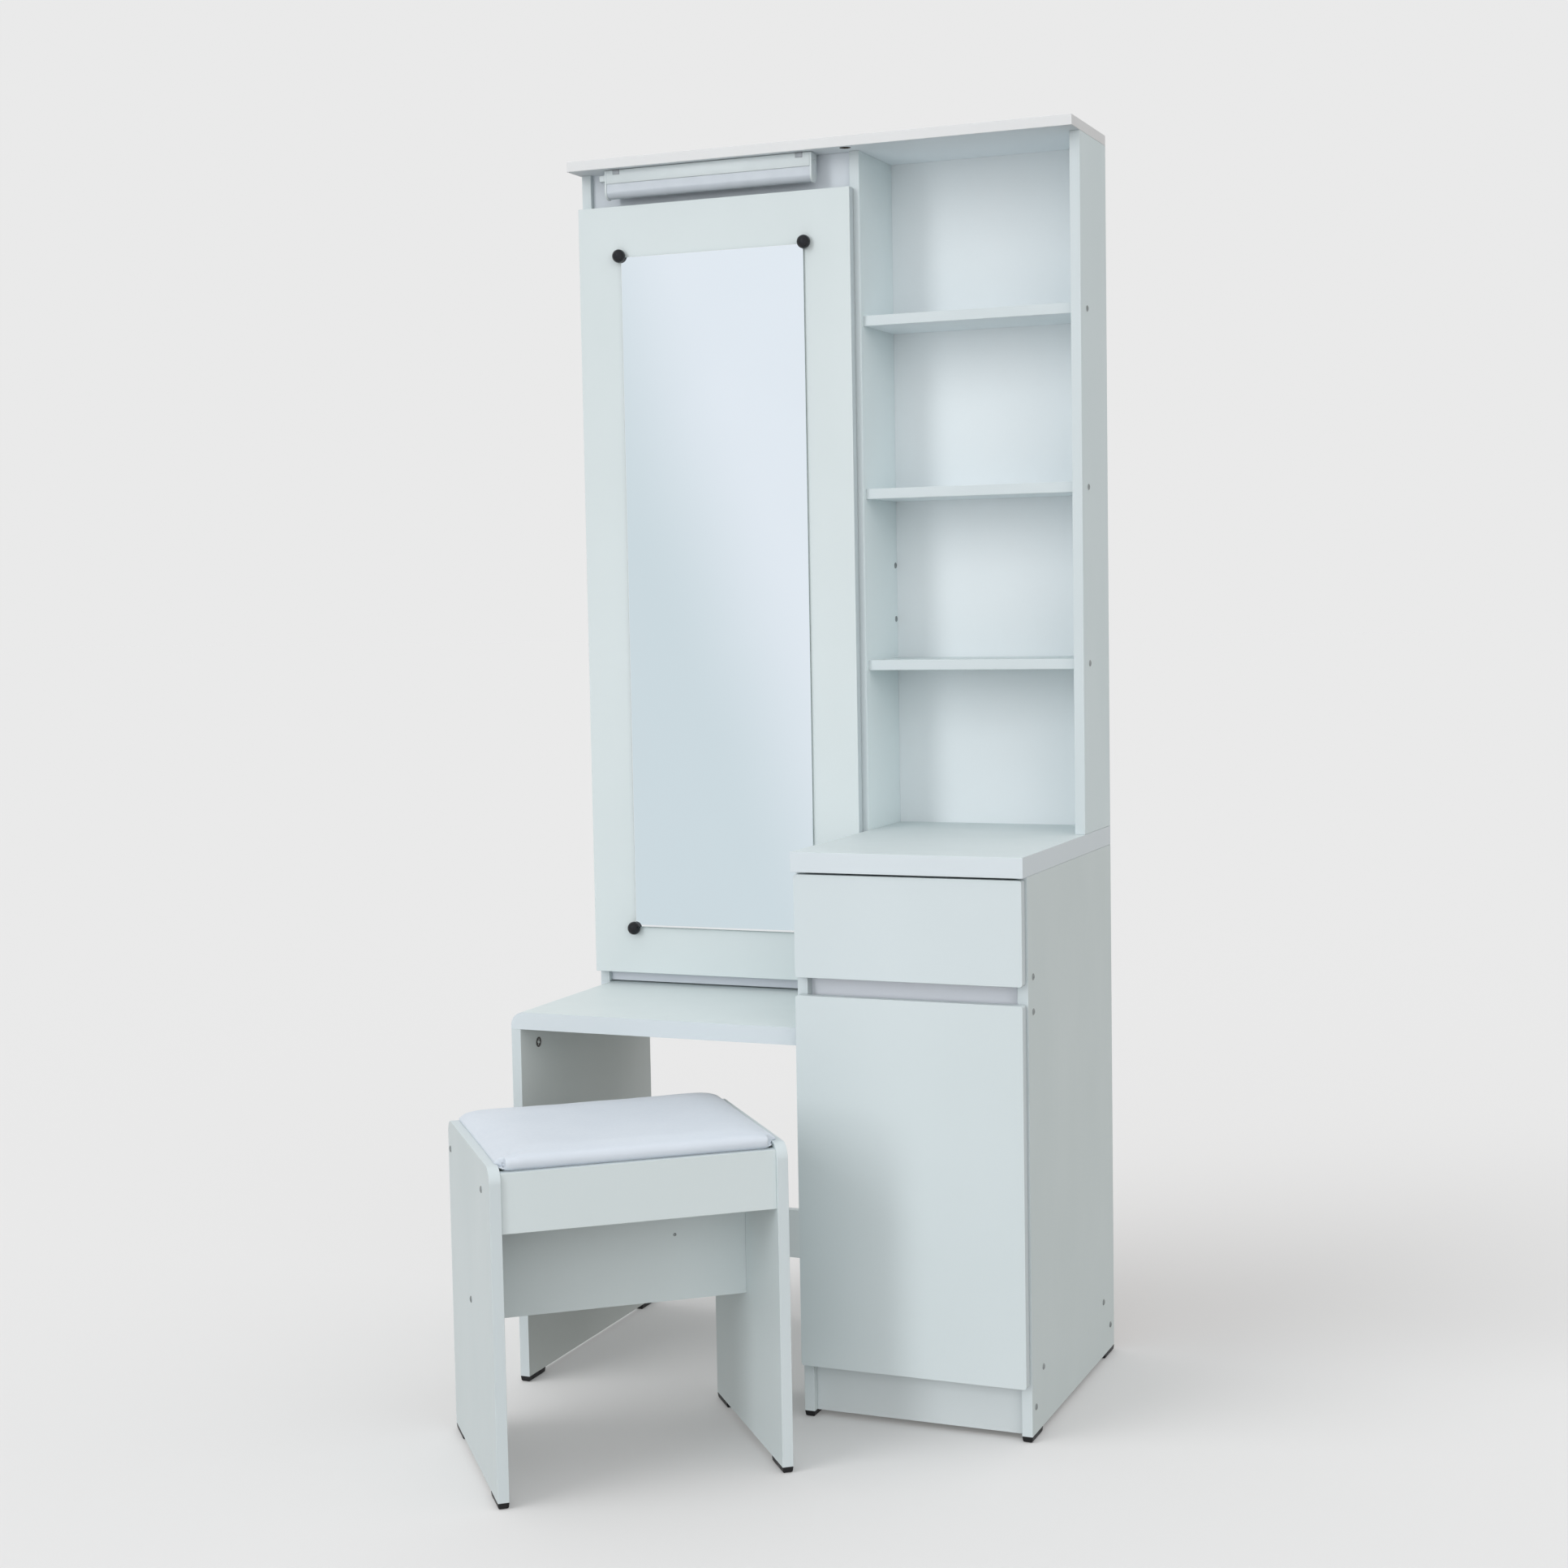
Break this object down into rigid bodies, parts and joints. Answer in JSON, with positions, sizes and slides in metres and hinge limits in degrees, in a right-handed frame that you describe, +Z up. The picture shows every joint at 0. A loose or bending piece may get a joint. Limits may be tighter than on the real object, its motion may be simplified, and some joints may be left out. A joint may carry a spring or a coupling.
{
  "type": "dressing table with mirror and stool",
  "caption": "White board dressing table with a tall mirror door over a low table, a cabinet with drawer and door, an open bookcase above it, a lamp batten and a padded stool.",
  "frame": {"origin": "on the floor, in the middle of the bounding box of the whole set with its stool", "axes": "+Z up, -Y towards the sitter (fronts face -Y), +X to the viewer's right"},
  "size_m": [0.7858, 0.888, 1.8],
  "materials": {
    "white_board": "satin white melamine on chipboard",
    "back_board": "thin white painted hardboard",
    "mirror": "silvered float glass",
    "black_gloss": "glossy black",
    "black_plastic": "moulded matt black",
    "screw_steel": "zinc plated",
    "hinge_steel": "nickel plated",
    "runner_plastic": "moulded",
    "lamp_plastic": "white satin",
    "lamp_diffuser": "opal",
    "light_strip": "circuit strip",
    "seat_vinyl": "white vinyl over foam",
    "seat_board": "raw plywood"
  },
  "bodies": {
    "carcass": {"top_board": "white_board", "hutch_left_side": "white_board", "hutch_divider": "white_board", "hutch_right_side": "white_board", "hutch_top_rail": "white_board", "hutch_bottom_rail": "white_board", "hutch_mid_back_rail": "white_board", "shelf_1": "white_board", "shelf_2": "white_board", "shelf_3": "white_board", "table_top": "white_board", "left_leg": "white_board", "knee_back_rail": "white_board", "cabinet_slab": "white_board", "cabinet_left_side": "white_board", "cabinet_right_side": "white_board", "cabinet_bottom": "white_board", "cabinet_mid_rail": "white_board", "plinth_front": "white_board", "plinth_rear": "white_board", "mirror_compartment_back": "back_board", "bookcase_back": "back_board", "cabinet_back": "back_board", "floor_glides": "black_plastic", "cabinet_screws": "screw_steel", "hutch_screws": "screw_steel", "leg_cam_fittings": "screw_steel", "door_hinge_arms": "hinge_steel", "mirror_hinge_arms": "hinge_steel", "lamp_clips": "hinge_steel", "drawer_runners": "runner_plastic", "lamp_body": "lamp_plastic", "lamp_end_caps": "lamp_plastic", "lamp_connector": "lamp_plastic", "lamp_diffuser": "lamp_diffuser", "lamp_light_strip": "light_strip"},
    "drawer": {"drawer_front": "white_board", "drawer_left_side": "white_board", "drawer_right_side": "white_board", "drawer_back": "white_board", "drawer_bottom": "back_board"},
    "door": {"door_panel": "white_board", "door_hinge_cups": "hinge_steel"},
    "mirror_door": {"mirror_panel": "white_board", "mirror_glass": "mirror", "mirror_knobs": "black_gloss", "mirror_hinge_cups": "hinge_steel"},
    "stool": {"stool_left_side": "white_board", "stool_right_side": "white_board", "stool_front_apron": "white_board", "stool_rear_apron": "white_board", "stool_seat_bearer": "white_board", "stool_stretcher": "white_board", "stool_seat_board": "seat_board", "stool_cushion": "seat_vinyl", "stool_screws": "screw_steel", "stool_glides": "black_plastic"}
  },
  "joints": [
    {"name": "drawer_slide", "type": "slide", "parent": "carcass", "child": "drawer", "axis": [0, -1, 0], "range_m": [0, 0.25]},
    {"name": "door_hinge", "type": "hinge", "parent": "carcass", "child": "door", "pos_m": [0.3841, -0.001, 0.337], "axis": [0, 0, 1], "range_deg": [0, 100]},
    {"name": "mirror_door_hinge", "type": "hinge", "parent": "carcass", "child": "mirror_door", "pos_m": [-0.3819, 0.289, 1.1495], "axis": [0, 0, -1], "range_deg": [0, 100]},
    {"name": "stool_slide", "type": "slide", "parent": "carcass", "child": "stool", "axis": [0, -1, 0], "range_m": [0, 0.35]}
  ]
}
